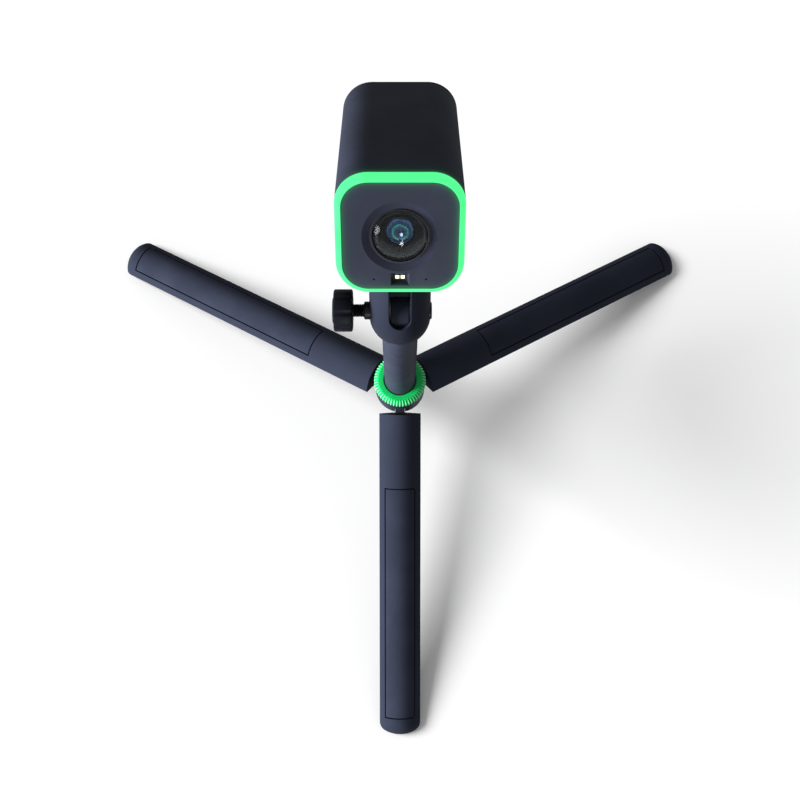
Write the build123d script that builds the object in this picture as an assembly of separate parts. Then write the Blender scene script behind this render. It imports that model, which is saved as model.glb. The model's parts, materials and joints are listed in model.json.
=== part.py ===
from build123d import *
import math
import os

# Webcam on a folding table tripod, in millimetres, +Z up, camera facing -Y.
# The origin is on the floor, in the middle of the open object's footprint.

# ---- tripod base: three 120 degree sector legs that close into one round handle ----
LEG_WIDTH = 22.0                          # chord across one leg
LEG_RADIUS = LEG_WIDTH / math.sqrt(3)     # radius of the closed handle
LEG_SLOPE = 17.5                          # open legs fall this far below level, degrees
LEG_STRAIGHT = 165.4                      # inner end to where the tip starts to round
LEG_TIP = 8.4                             # length of the rounded tip
LEG_INNER_R = 13.7                        # hub axis to the inner end of the chord plane
LEG_AZIMUTHS = {"front": -90, "right": 30, "left": 150}
RIDGE_FLAT = 1.3                          # depth taken off the sharp inner ridge
PANEL_START = 39.0
PANEL_END = 162.1
PANEL_HALF_ANGLE = 38.0
PANEL_THICK = 1.6
PANEL_GAP = 0.3
LEG_EDGE = 0.4                            # rounding of the edges round a leg's curved face
TONGUE_WIDTH = 4.9
TONGUE_HALF_HEIGHT = 3.0
KNUCKLE_R = 3.4
PIVOT_S = -7.70                           # leg pivot, along the leg from its inner end
PIVOT_M = 0.0                             # and above its chord plane
PIN_R = 1.25
PIN_LENGTH = 15.0
FIT = 0.05                                # radial clearance of a running fit
FOOT_HEIGHT = 3.2                         # rubber reaches this high into the leg's tip
FOOT_PLUG_R = 167.0                       # hub axis to the foot's plug
SECTOR_ANGLE = 118.6                      # a little under a third, so that closed legs just clear

# ---- hub and lock ring ----
RING_Z = 71.5                             # middle of the lock ring above the floor
CHORD_DROP = 17.3                         # ring middle down to the legs' inner chord
HUB_R = 12.7
HUB_TOP = -3.2                            # heights in the hub are from the ring's middle
HUB_BOTTOM = -22.0
HUB_BORE_FLOOR = -7.5
SPIGOT_R = 10.2
RING_R = 13.16
RING_HALF_HEIGHT = 3.0
RING_RIBS = 52
RING_BEVEL = 1.9
RIB_WIDTH = 0.85
RIB_HEIGHT = 0.5

# ---- column ----
COLUMN_R = 7.83
COLUMN_WALL = 1.6
COLUMN_FOOT = -7.0
TILT_Z = 133.1                            # tilt axis above the ring's middle
COLUMN_SEAM = 114.6
CUP_R = 14.9                              # hollow at the column's top, about the tilt axis
BOSS_R = 10.1
TONGUE_HALF = 3.7

# ---- tilt head, drawn level about the tilt axis, then pitched up ----
PITCH = 44.5                              # the camera looks up by this much at rest
HEAD_R = 12.4
HEAD_DROP = 2.0                           # the round bottom's centre below the tilt axis
SLOT_HALF = 4.2
WINDOW_TOP = 17.0
PLATE_Z = 19.6
PLATE_R = 15.0
PAD_Z = 24.6
CAMERA_Z = 26.6                           # underside of the camera above the tilt axis
BOLT_R = 2.75
COLLAR_R = 3.65
KNOB_R = 8.6
KNOB_X = (-26.8, -19.1)
KNOB_LOBES = 8
THREAD_PITCH = 0.75
THREAD_TURNS = 6

# ---- webcam ----
CAM_WIDTH = 47.4
CAM_CORNER = 12.3
CAM_FRONT = -34.5
CAM_BACK = 62.2
CAM_WALL = 2.2
CAM_MID_Z = CAMERA_Z + CAM_WIDTH / 2
GLOW_WIDTH = 2.3                          # light ring seen from the front
GLOW_DEPTH = 3.7
REAR_THICK = 4.0
SEAM = 0.2                                # chamfer along the casing's seams
BEZEL_THICK = 2.4
DISH_R = 14.0
DISH_DEPTH = 0.9
LENS_R = 10.7
RECESS_WIDTH = 7.0
RECESS_HEIGHT = 5.1
FLASH_DROP = 17.3                         # flash and microphones below the lens centre
FLASH_PITCH = 2.0
MIC_SPACING = 19.2
MIC_R = 0.4

parts = {}
hub_y = 0.0


# ---------------------------------------------------------------- helpers
def rod(radius, low, high, axis="Z", at=(0, 0)):
    """A cylinder along an axis, from low to high."""
    length = high - low
    body = Cylinder(radius, length)
    middle = (low + high) / 2
    if axis == "X":
        return Pos(middle, at[0], at[1]) * Rot(0, 90, 0) * body
    if axis == "Y":
        return Pos(at[0], middle, at[1]) * Rot(90, 0, 0) * body
    return Pos(at[0], at[1], middle) * body


def block(x0, x1, y0, y1, z0, z1):
    """A box between two corners."""
    return Pos((x0 + x1) / 2, (y0 + y1) / 2, (z0 + z1) / 2) * Box(x1 - x0, y1 - y0, z1 - z0)


def lying_tile(width, height, corner, front, back, z_mid=CAM_MID_Z):
    """A rounded rectangle seen from the front, with its depth along Y."""
    face = RectangleRounded(width, height, corner)
    return Pos(0, back, z_mid) * extrude(Rot(90, 0, 0) * face, amount=back - front, dir=(0, -1, 0))


def turned(points):
    """A body of revolution about Z from (radius, height) corners."""
    return revolve(Plane.XZ * make_face(Polyline(*points, close=True)), Axis.Z)


# ---------------------------------------------------------------- one leg, drawn along +X
def handle_sector():
    """A third of a round handle with a domed end, its chord plane at Z = 0."""
    radius = LEG_RADIUS
    length = LEG_STRAIGHT
    tip = LEG_TIP
    outline = Polyline((0, radius), (0, 0), (length + tip, 0))
    dome = EllipticalCenterArc((length, 0), tip, radius, 0, arc_size=90)
    top = Line((length, radius), (0, radius))
    profile = Plane.XZ * make_face(outline + dome + top)
    body = revolve(profile, Axis.X, SECTOR_ANGLE)
    sector = Pos(0, 0, -LEG_RADIUS / 2) * Rot(-SECTOR_ANGLE / 2, 0, 0) * body
    ridge = -LEG_RADIUS / 2
    sector -= block(-1, length + tip, -6, 6, ridge - 1, ridge + RIDGE_FLAT)
    return fillet(crest_edges(sector), LEG_EDGE)


def crest_edges(sector):
    """The edges round the curved face: two long ones, their ends on the tip, and the inner end's arc."""
    long_edges = [edge for edge in sector.edges() if edge.length > 12]
    return [edge for edge in long_edges if edge.center().X < 1 or abs(edge.center().Y) > 6]


def panel_band(half_angle, inner, outer, start, end):
    """A curved strip about the handle's axis, centred on the leg's crest."""
    ring = rod(outer, start, end, "X") - rod(inner, start - 1, end + 1, "X")
    reach = outer * 1.5
    side = reach * math.tan(math.radians(half_angle))
    wedge = Polyline((0, 0), (side, reach), (-side, reach), close=True)
    keep = extrude(Plane.YZ * make_face(wedge), amount=end)
    return Pos(0, 0, -LEG_RADIUS / 2) * (ring & keep)


def leg_shell():
    body = handle_sector()
    ridge = -LEG_RADIUS / 2
    gap_angle = math.degrees(PANEL_GAP / LEG_RADIUS)
    floor_r = LEG_RADIUS - PANEL_THICK
    body -= panel_band(PANEL_HALF_ANGLE + gap_angle, floor_r, LEG_RADIUS + 1,
                       PANEL_START - PANEL_GAP, PANEL_END + PANEL_GAP)
    hollow = Polyline((-2.4, -2.6), (2.4, -2.6), (6, -0.4), (6, 6), (-6, 6), (-6, -0.4), close=True)
    body -= Pos(PANEL_START + 2, 0, 0) * extrude(Plane.YZ * make_face(hollow), amount=PANEL_END - PANEL_START - 4)
    body -= block(-1, 18, -TONGUE_WIDTH / 2, TONGUE_WIDTH / 2, -TONGUE_HALF_HEIGHT, TONGUE_HALF_HEIGHT)
    for x in (6.0, 13.0):
        body -= rod(2.3, ridge, -4.0, at=(x, 0))
        body -= rod(1.3, -4.0, -TONGUE_HALF_HEIGHT, at=(x, 0))
    return body


def leg_panel():
    gap_angle = math.degrees(PANEL_GAP / LEG_RADIUS)
    band = panel_band(PANEL_HALF_ANGLE - gap_angle, LEG_RADIUS - PANEL_THICK, LEG_RADIUS - 0.05,
                      PANEL_START + PANEL_GAP, PANEL_END - PANEL_GAP)
    rim = [edge for edge in band.edges() if edge.length > 10 and edge.bounding_box().max.Z > 3]
    outer = [edge for edge in rim if edge.length > 100 or edge.bounding_box().max.Z > 5]
    return chamfer(outer, 0.15)


def leg_tongue():
    half = TONGUE_WIDTH / 2
    body = block(PIVOT_S, 18, -half, half, -TONGUE_HALF_HEIGHT, TONGUE_HALF_HEIGHT)
    body += rod(KNUCKLE_R, -half, half, "Y", (PIVOT_S, PIVOT_M))
    body -= rod(PIN_R + FIT, -half - 1, half + 1, "Y", (PIVOT_S, PIVOT_M))
    for x in (6.0, 13.0):
        body -= rod(1.25, -TONGUE_HALF_HEIGHT, 1.0, at=(x, 0))
    return body


def leg_screws():
    screws = []
    for x in (6.0, 13.0):
        screw = rod(2.1, -5.0, -4.0, at=(x, 0)) + rod(1.2, -4.0, 0.9, at=(x, 0))
        screw -= Pos(x, 0, -4.8) * extrude(RegularPolygon(0.75, 6), amount=-0.6)
        screws.append(screw)
    return screws


def leg_place(azimuth):
    """From the leg's own frame to the open leg on the hub axis."""
    inner_end = Pos(LEG_INNER_R, 0, RING_Z - CHORD_DROP)
    return Rot(0, 0, azimuth) * inner_end * Rot(0, LEG_SLOPE, 0)


def foot_plug(azimuth):
    """The stub that holds a foot in its leg."""
    plug = extrude(RectangleRounded(5.0, 4.0, 1.0), amount=1.8)
    return Rot(0, 0, azimuth) * Pos(FOOT_PLUG_R, 0, FOOT_HEIGHT) * plug


def leg_foot(azimuth):
    """The rubber underside of a leg's tip, flat on the floor when the leg is open."""
    low_part = block(-300, 300, -300, 300, 0, FOOT_HEIGHT)
    return (leg_place(azimuth) * handle_sector() & low_part) + foot_plug(azimuth)


def fitted_leg_shell(azimuth):
    """The leg shell in its open place, cut level over its foot."""
    shell = leg_place(azimuth) * leg_shell()
    return shell - block(-300, 300, -300, 300, -20, FOOT_HEIGHT) - foot_plug(azimuth)


def pivot_point():
    """Radius and height of the legs' hinge pins."""
    slope = math.radians(LEG_SLOPE)
    radius = LEG_INNER_R + PIVOT_S * math.cos(slope) + PIVOT_M * math.sin(slope)
    height = RING_Z - CHORD_DROP - PIVOT_S * math.sin(slope) + PIVOT_M * math.cos(slope)
    return radius, height


# ---------------------------------------------------------------- hub
def hub_profile():
    """The hub's round body: its lower edge follows the swing of the legs' ends."""
    pivot_r, pivot_z = pivot_point()
    swing = -PIVOT_S - 0.4
    low = RING_Z + HUB_BOTTOM
    side_z = pivot_z - math.sqrt(swing ** 2 - (HUB_R - pivot_r) ** 2)
    base_r = pivot_r + math.sqrt(swing ** 2 - (pivot_z - low) ** 2)
    middle = math.radians(-50)
    bend = (pivot_r + swing * math.cos(middle), pivot_z + swing * math.sin(middle))
    top = RING_Z + HUB_TOP
    crown = RING_Z + RING_HALF_HEIGHT - 0.8
    lines = Polyline((base_r, low), (0, low), (0, crown), (SPIGOT_R, crown), (SPIGOT_R, top))
    lines += Polyline((SPIGOT_R, top), (HUB_R - 0.8, top), (HUB_R, top - 0.8), (HUB_R, side_z))
    lines += ThreePointArc((HUB_R, side_z), bend, (base_r, low))
    return revolve(Plane.XZ * make_face(lines), Axis.Z)


def slotted_hub():
    """The whole hub with its leg slots, pin beds and column bore."""
    body = hub_profile()
    top = RING_Z + RING_HALF_HEIGHT
    floor = RING_Z + HUB_BORE_FLOOR
    body -= rod(COLUMN_R + FIT, floor, top + 1)
    pivot_r, pivot_z = pivot_point()
    half = TONGUE_WIDTH / 2 + 0.15
    for azimuth in LEG_AZIMUTHS.values():
        slot = block(2.7, 20, -half, half, RING_Z + HUB_BOTTOM - 1, pivot_z + KNUCKLE_R + 0.15)
        pin = rod(PIN_R, -PIN_LENGTH / 2, PIN_LENGTH / 2, "Y", (pivot_r, pivot_z))
        body -= Rot(0, 0, azimuth) * (slot + pin)
    for azimuth in (0, 60, 120):
        body -= Rot(0, 0, azimuth) * block(-14, 14, -0.5, 0.5, RING_Z + HUB_TOP + 0.3, top)
    body -= rod(2.0, pivot_z + 1.9, floor + 1)
    for x, y in hub_screw_places():
        low = RING_Z + HUB_BOTTOM
        body -= rod(1.0, low - 1, pivot_z + 5.5, at=(x, y)) + rod(1.8, low - 1, low + 1.6, at=(x, y))
    return body


def hub_screw_places():
    """Between the leg slots, inside the ends of the hinge pins."""
    angles = [math.radians(azimuth + 60) for azimuth in LEG_AZIMUTHS.values()]
    return [(5.6 * math.cos(angle), 5.6 * math.sin(angle)) for angle in angles]


def hub_body():
    """The hub above the hinge pins, with the slit collar that grips the column."""
    return slotted_hub() & block(-20, 20, -20, 20, pivot_point()[1], RING_Z + 10)


def hub_base():
    """The hub below the hinge pins, which closes their beds."""
    return slotted_hub() & block(-20, 20, -20, 20, RING_Z + HUB_BOTTOM - 5, pivot_point()[1])


def hub_base_screws():
    low = RING_Z + HUB_BOTTOM + 1.6
    screw = rod(1.7, low - 1.2, low) + rod(0.95, low, pivot_point()[1] + 5)
    screw -= Pos(0, 0, low - 1.2) * extrude(RegularPolygon(0.75, 6), amount=0.6)
    return [Pos(x, y, 0) * screw for x, y in hub_screw_places()]


def leg_hinge_pins():
    pivot_r, pivot_z = pivot_point()
    pin = chamfer(Cylinder(PIN_R, PIN_LENGTH).edges(), 0.2)
    lying = Pos(pivot_r, 0, pivot_z) * Rot(90, 0, 0) * pin
    return [Rot(0, 0, azimuth) * lying for azimuth in LEG_AZIMUTHS.values()]


def ring_outline(radius, bevel, inner, top):
    """Half section of the lock ring with its bevelled upper edge."""
    low = -RING_HALF_HEIGHT
    corners = [(inner, low), (radius - 0.3, low), (radius, low + 0.5), (radius, top - bevel)]
    corners += [(radius - bevel, top), (COLUMN_R + 0.35, top), (COLUMN_R + 0.35, RING_HALF_HEIGHT - 0.75)]
    return corners + [(inner, RING_HALF_HEIGHT - 0.75)]


def lock_ring():
    """The knurled ring: fine ribs all round its side and over its bevel."""
    bore = SPIGOT_R + FIT
    top = RING_HALF_HEIGHT
    body = turned(ring_outline(RING_R - RIB_HEIGHT, RING_BEVEL - 0.1, bore, top - 0.3))
    crest = turned(ring_outline(RING_R, RING_BEVEL, bore, top))
    rib = block(bore + 0.4, RING_R + 1, -RIB_WIDTH / 2, RIB_WIDTH / 2, 0.3 - top, top) & crest
    ribs = [Rot(0, 0, 360 * i / RING_RIBS) * rib for i in range(RING_RIBS)]
    return Pos(0, 0, RING_Z) * (body + ribs)


def pan_screw():
    """Shoulder screw that holds the column down in the hub."""
    floor = RING_Z + HUB_BORE_FLOOR
    screw = rod(3.6, floor + 7.1, floor + 9.6) + rod(2.0, floor - 5.5, floor + 7.1)
    return screw - Pos(0, 0, floor + 9.6) * extrude(RegularPolygon(1.4, 6), amount=-1.6)


def pan_washers():
    """A thrust washer under the column's foot and another under the shoulder screw's head."""
    floor = RING_Z + HUB_BORE_FLOOR
    lower = rod(7.2, floor, floor + 0.5) - rod(2.2, floor - 1, floor + 1)
    upper = rod(3.8, floor + 6.55, floor + 7.1) - rod(2.0, floor + 6, floor + 8)
    return [lower, upper]


# ---------------------------------------------------------------- column
def column_tube():
    low = RING_Z + COLUMN_FOOT
    high = RING_Z + COLUMN_SEAM
    return rod(COLUMN_R, low, high) - rod(COLUMN_R - COLUMN_WALL, low - 1, high + 1)


def column_foot():
    """Turning plug in the column's lower end, on the shoulder screw."""
    low = RING_Z + COLUMN_FOOT
    return rod(COLUMN_R - COLUMN_WALL, low, low + 6) - rod(2.0 + FIT, low - 1, low + 7)


def column_head():
    """Cupped top of the column with the round-ended tilt tongue."""
    axis_z = RING_Z + TILT_Z
    seam = RING_Z + COLUMN_SEAM
    body = rod(COLUMN_R, seam + 0.3, axis_z) + rod(COLUMN_R - 0.35, seam, seam + 0.3)
    body += rod(COLUMN_R - COLUMN_WALL, seam - 12, seam)
    body -= Pos(0, 0, axis_z) * Sphere(CUP_R)
    body = fillet(body.edges().group_by(Axis.Z)[-1], 0.3)
    neck = block(-TONGUE_HALF, TONGUE_HALF, -4.2, 4.2, seam + 2, axis_z)
    boss = rod(BOSS_R, -TONGUE_HALF, TONGUE_HALF, "X", (0, axis_z))
    body += neck + chamfer(boss.edges().filter_by(GeomType.CIRCLE), 0.3)
    return body - rod(BOLT_R + FIT, -9, 9, "X", (0, axis_z))


# ---------------------------------------------------------------- tilt head, level about its axis
def tilt_housing():
    """Round-bottomed clevis: slotted below and behind, with a round-ended window in front."""
    centre = -HEAD_DROP
    body = rod(HEAD_R, centre, PLATE_Z) + Pos(0, 0, centre) * Sphere(HEAD_R)
    reach = 30.0
    angles = (-126, -60, 0, 26)
    fan = [(reach * math.cos(math.radians(a)), reach * math.sin(math.radians(a))) for a in angles]
    slot = make_face(Polyline((0, 0), *fan, close=True))
    body -= Pos(-SLOT_HALF, 0, 0) * extrude(Plane.YZ * slot, amount=2 * SLOT_HALF)
    body -= rod(BOSS_R + 0.4, -SLOT_HALF, SLOT_HALF, "X")
    sill = centre + SLOT_HALF + 0.1
    body -= block(-SLOT_HALF, SLOT_HALF, -20, -5, sill, WINDOW_TOP)
    body -= rod(SLOT_HALF, -20, -5, "Y", (0, sill))
    mouth = [edge for edge in body.edges() if edge.bounding_box().max.Y < -11.6]
    body = fillet([edge for edge in mouth if abs(edge.center().X) < SLOT_HALF + 0.1], 0.35)
    body -= rod(BOLT_R + FIT, -14, 14, "X")
    body -= rod(COLLAR_R, -14, -9.5, "X")
    body -= rod(COLLAR_R, 9.0, 14, "X")
    body -= rod(1.0, PLATE_Z - 5, PLATE_Z + 1, at=(8.5, -4))
    body -= rod(1.0, PLATE_Z - 5, PLATE_Z + 1, at=(-8.5, -4))
    return body


def friction_washers():
    washer = rod(7.5, TONGUE_HALF + 0.05, SLOT_HALF, "X") - rod(BOLT_R + FIT, 0, 9, "X")
    return [washer, Rot(0, 0, 180) * washer]


def side_collar():
    body = rod(COLLAR_R, -14.5, -9.5, "X") - rod(BOLT_R + FIT, -15, -9, "X")
    return chamfer(body.edges().group_by(Axis.X)[0], 0.3)


def cap_nut():
    body = rod(COLLAR_R, 9.0, 12.9, "X")
    body = fillet(body.edges().group_by(Axis.X)[-1], 0.8)
    return body - rod(BOLT_R + FIT, 8, 11.6, "X")


def head_plate():
    body = rod(PLATE_R, PLATE_Z, PAD_Z)
    body = fillet(body.edges().group_by(Axis.Z)[0], 1.2)
    body -= rod(6.3, PLATE_Z - 1, PLATE_Z + 3.2) + rod(3.4, PLATE_Z, PAD_Z + 1)
    for x in (-8.5, 8.5):
        body -= rod(1.1, PLATE_Z - 1, PAD_Z + 1, at=(x, -4)) + rod(2.1, PAD_Z - 1.4, PAD_Z + 1, at=(x, -4))
    return body


def plate_screws():
    screw = rod(1.0, PLATE_Z - 4.5, PAD_Z - 1.4) + rod(2.0, PAD_Z - 1.4, PAD_Z - 0.1)
    return [Pos(x, -4, 0) * screw for x in (-8.5, 8.5)]


def plate_pad():
    body = rod(PLATE_R - 0.3, PAD_Z, CAMERA_Z) - rod(3.4, PAD_Z - 1, CAMERA_Z + 1)
    for radius in (6.0, 8.5, 11.0):
        body -= rod(radius + 0.5, PAD_Z - 1, PAD_Z + 0.6) - rod(radius - 0.5, PAD_Z - 2, PAD_Z + 2)
    return body


def camera_screw():
    """Quarter inch camera screw, captive under the plate."""
    body = rod(6.1, PLATE_Z, PLATE_Z + 3.0) + rod(3.15, PLATE_Z + 3.0, CAMERA_Z + 5.2)
    return chamfer(body.edges().group_by(Axis.Z)[-1], 0.5)


# ---------------------------------------------------------------- clamp knob
def knob_grip():
    low, high = KNOB_X
    body = rod(KNOB_R, low, high, "X")
    body = fillet(body.edges().filter_by(GeomType.CIRCLE), 0.7)
    for i in range(KNOB_LOBES):
        angle = math.radians(360 * (i + 0.5) / KNOB_LOBES)
        body -= rod(1.5, low - 1, high + 1, "X", ((KNOB_R + 0.9) * math.cos(angle), (KNOB_R + 0.9) * math.sin(angle)))
    body -= rod(5.2, low - 1, low + 0.9, "X")
    return body - rod(BOLT_R, low + 2.5, high + 1, "X")


def knob_cap():
    low = KNOB_X[0]
    return fillet(rod(5.15, low - 0.5, low + 0.9, "X").edges().group_by(Axis.X)[0], 0.3)


def clamp_bolt():
    """The bolt through the head, with its thread showing beside the knob."""
    low = KNOB_X[0] + 2.5
    corners = [(0, low), (BOLT_R, low)]
    for i in range(THREAD_TURNS):
        crest = KNOB_X[1] + 0.1 + i * THREAD_PITCH
        corners += [(BOLT_R, crest), (BOLT_R - 0.4, crest + THREAD_PITCH / 2)]
    corners += [(BOLT_R, KNOB_X[1] + 0.1 + THREAD_TURNS * THREAD_PITCH)]
    corners += [(BOLT_R, 10.9), (BOLT_R - 0.4, 11.3), (0, 11.3)]
    return Rot(0, 90, 0) * turned(corners)


# ---------------------------------------------------------------- webcam casing
def body_shell():
    front = CAM_FRONT + GLOW_DEPTH
    back = CAM_BACK - REAR_THICK
    inner = CAM_WIDTH - 2 * CAM_WALL
    body = lying_tile(CAM_WIDTH, CAM_WIDTH, CAM_CORNER, front, back)
    body = chamfer(body.edges().group_by(Axis.Y)[0] + body.edges().group_by(Axis.Y)[-1], SEAM)
    body -= lying_tile(inner, inner, CAM_CORNER - CAM_WALL, front - 1, back + 1)
    floor = CAMERA_Z + CAM_WALL
    body += block(-8, 8, -8, 8, floor - 1, floor + 4.6)
    body -= rod(5.0, CAMERA_Z - 1, CAMERA_Z + 6.0)
    for x, y in board_post_places():
        body += rod(2.4, floor - 1, board_z(), at=(x, y))
        body -= rod(0.9, board_z() - 4, board_z() + 1, at=(x, y))
    for x, z in rear_screw_places():
        lean = 45 if x * (z - CAM_MID_Z) < 0 else -45
        body += rod(2.1, back - 13, back - 3.1, "Y", (x, z))
        web = Pos(x * 1.09, back - 8, CAM_MID_Z + (z - CAM_MID_Z) * 1.09) * Rot(0, lean, 0) * Box(5.4, 9.8, 1.6)
        body += web
        body -= rod(1.05, back - 8, back, "Y", (x, z))
    return body


def board_z():
    """Underside of the main board."""
    return CAM_MID_Z - 14.0


def board_post_places():
    return [(x, y) for x in (-13.0, 13.0) for y in (-12.0, 44.0)]


def tripod_insert():
    body = rod(5.0, CAMERA_Z, CAMERA_Z + 6.0)
    return body - rod(3.2, CAMERA_Z - 1, CAMERA_Z + 5.5)


def light_ring():
    """Translucent ring: a quarter-ellipse lip all round and a thin flange behind the bezel."""
    inner = CAM_WIDTH - 2 * GLOW_WIDTH
    corner = CAM_CORNER - GLOW_WIDTH
    path = Pos(0, CAM_FRONT + GLOW_DEPTH, CAM_MID_Z) * Rot(90, 0, 0) * RectangleRounded(inner, inner, corner).wire()
    arc = EllipticalCenterArc((0, 0), GLOW_WIDTH, GLOW_DEPTH, 0, arc_size=90)
    section = make_face(Polyline((0, GLOW_DEPTH), (0, 0), (GLOW_WIDTH, 0)) + arc)
    start = Plane(origin=path @ 0, x_dir=lip_direction(path), z_dir=path % 0)
    if (start.y_dir.Y) > 0:
        section = mirror(section, Plane.XZ)
    lip = sweep(start * section, path=path)
    flange_front = CAM_FRONT + 0.2 + BEZEL_THICK
    flange_back = CAM_FRONT + GLOW_DEPTH
    flange = lying_tile(inner, inner, corner, flange_front, flange_back)
    flange -= lying_tile(inner - 4.8, inner - 4.8, corner - 2.4, flange_front - 1, flange_back + 1)
    return lip + flange


def lip_direction(path):
    """From the middle of the face outwards, at the start of the ring's path."""
    tangent = path % 0
    side = tangent.cross(Vector(0, 1, 0))
    outward = (path @ 0) - Vector(0, (path @ 0).Y, CAM_MID_Z)
    if side.dot(outward) < 0:
        return side * -1
    return side


def front_bezel():
    """Face plate with the lens dish, the flash recess and the microphone holes."""
    size = CAM_WIDTH - 2 * GLOW_WIDTH - 0.1
    front = CAM_FRONT + 0.2
    back = front + BEZEL_THICK
    body = lying_tile(size, size, CAM_CORNER - GLOW_WIDTH, front, back)
    body = chamfer(body.edges().group_by(Axis.Y)[0], SEAM)
    dish = Cone(LENS_R + 0.5, DISH_R, DISH_DEPTH)
    body -= Pos(0, front + DISH_DEPTH / 2, CAM_MID_Z) * Rot(90, 0, 0) * dish
    body -= rod(LENS_R, front - 1, back + 1, "Y", (0, CAM_MID_Z))
    low = CAM_MID_Z - FLASH_DROP
    mouth = Plane(origin=(0, front - 0.01, low), x_dir=(1, 0, 0), z_dir=(0, 1, 0))
    floor = mouth.offset(1.8)
    funnel = loft([mouth * Rectangle(RECESS_WIDTH, RECESS_HEIGHT), floor * Rectangle(4.8, 2.7)])
    body -= funnel
    for x in (-FLASH_PITCH / 2, FLASH_PITCH / 2):
        body -= block(x - 0.75, x + 0.75, front, back + 1, low - 0.75, low + 0.75)
    for x in (-MIC_SPACING / 2, MIC_SPACING / 2):
        body -= rod(MIC_R, front - 1, back + 1, "Y", (x, low))
    return body


def rear_cover():
    inner = CAM_WIDTH - 2 * CAM_WALL - 0.1
    seam = CAM_BACK - REAR_THICK
    body = lying_tile(CAM_WIDTH, CAM_WIDTH, CAM_CORNER, seam, CAM_BACK)
    body = fillet(body.edges().group_by(Axis.Y)[-1], 3.0)
    body = chamfer(body.edges().group_by(Axis.Y)[0], SEAM)
    body += lying_tile(inner, inner, CAM_CORNER - CAM_WALL, seam - 3, seam)
    body -= lying_tile(inner - 3, inner - 3, CAM_CORNER - CAM_WALL - 1.5, seam - 4, seam + 1)
    body -= lying_tile(9.5, 3.8, 1.89, seam - 5, CAM_BACK + 1, usb_z())
    for x, z in rear_screw_places():
        body += rod(2.1, seam - 3, seam + 1.5, "Y", (x, z))
        body -= rod(1.1, seam - 4, CAM_BACK + 1, "Y", (x, z))
        body -= rod(1.9, CAM_BACK - 1.3, CAM_BACK + 1, "Y", (x, z))
    return body


def usb_z():
    return board_z() + 1.2 + 1.63


def rear_screw_places():
    return [(x, CAM_MID_Z + z) for x in (-16.2, 16.2) for z in (-16.2, 16.2)]


def case_screws():
    """Four screws through the rear cover and four that hold the main board on its posts."""
    screws = []
    seam = CAM_BACK - REAR_THICK
    for x, z in rear_screw_places():
        screw = rod(1.05, seam - 6, CAM_BACK - 1.3, "Y", (x, z))
        screw += rod(1.8, CAM_BACK - 1.3, CAM_BACK - 0.3, "Y", (x, z))
        screw -= Pos(x, CAM_BACK - 0.3, z) * Rot(-90, 0, 0) * extrude(RegularPolygon(0.8, 6), amount=-0.6)
        screws.append(screw)
    low = board_z()
    for x, y in board_post_places():
        screws.append(rod(0.9, low - 3, low + 1.2, at=(x, y)) + rod(1.7, low + 1.2, low + 2.2, at=(x, y)))
    return screws


# ---------------------------------------------------------------- optics
def lens_dome():
    """Domed cover glass over the lens."""
    rim = LENS_R - 0.5
    curve = 14.0
    base = CAM_FRONT + 1.0
    centre = base + math.sqrt(curve ** 2 - rim ** 2)
    shell = Sphere(curve) - Sphere(curve - 1.2)
    cap = Pos(0, centre, CAM_MID_Z) * shell
    return cap & rod(rim, base - 8, base, "Y", (0, CAM_MID_Z))


def lens_retainer():
    front = CAM_FRONT + 0.6
    ring = rod(LENS_R, front, front + 3.6, "Y", (0, CAM_MID_Z))
    ring -= rod(LENS_R - 0.5, front - 1, CAM_FRONT + 1.0, "Y", (0, CAM_MID_Z))
    return ring - rod(9.2, front - 1, front + 5, "Y", (0, CAM_MID_Z))


def lens_barrel():
    """Stepped barrel: wide ringed hood in front, narrow behind, with seats for the glass."""
    front = CAM_FRONT + 1.4
    outline = [(9.2, front), (9.2, front + 6), (7.6, front + 6), (7.6, front + 19), (4.4, front + 19)]
    outline += [(4.4, front + 12), (5.6, front + 12), (5.6, front + 3.4), (6.3, front + 3.4), (6.3, front + 2.6)]
    outline += [(7.2, front + 2.6), (7.2, front + 1.6), (8.1, front + 1.6), (8.1, front)]
    profile = make_face(Polyline(*outline, close=True))
    body = revolve(profile, Axis.Y)
    return Pos(0, 0, CAM_MID_Z) * body


def lens_glass(radius, front, back, bulge_front, bulge_back):
    """A biconvex or meniscus lens on the optical axis: bulges are positive outwards."""
    front_mid = (0, front - bulge_front)
    back_mid = (0, back + bulge_back)
    curve_front = ThreePointArc((-radius, front), front_mid, (radius, front))
    curve_back = ThreePointArc((-radius, back), back_mid, (radius, back))
    sides = Line((-radius, front), (-radius, back)) + Line((radius, front), (radius, back))
    section = make_face(curve_front + curve_back + sides)
    half = section & (Pos(radius, (front + back) / 2) * Rectangle(2 * radius, 40))
    return Pos(0, 0, CAM_MID_Z) * revolve(half, Axis.Y)


def front_element():
    return lens_glass(5.6, CAM_FRONT + 5.2, CAM_FRONT + 7.4, 1.6, -0.6)


def rear_elements():
    """The two smaller lenses, before and behind the aperture stop."""
    middle = lens_glass(5.6, CAM_FRONT + 9.4, CAM_FRONT + 11.0, 0.7, 0.7)
    rear = lens_glass(4.4, CAM_FRONT + 15.0, CAM_FRONT + 17.4, 0.8, -0.5)
    return [middle, rear]


def aperture_stop():
    at = (0, CAM_MID_Z)
    low = CAM_FRONT + 12.6
    return rod(5.6, low, low + 0.6, "Y", at) - rod(2.6, low - 1, low + 2, "Y", at)


def sensor_board():
    front = CAM_FRONT + 22.4
    return block(-11, 11, front, front + 1.2, CAM_MID_Z - 10, CAM_MID_Z + 11)


def image_sensor():
    front = CAM_FRONT + 22.4
    return block(-3.6, 3.6, front - 1.0, front, CAM_MID_Z - 3.0, CAM_MID_Z + 3.0)


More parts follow.
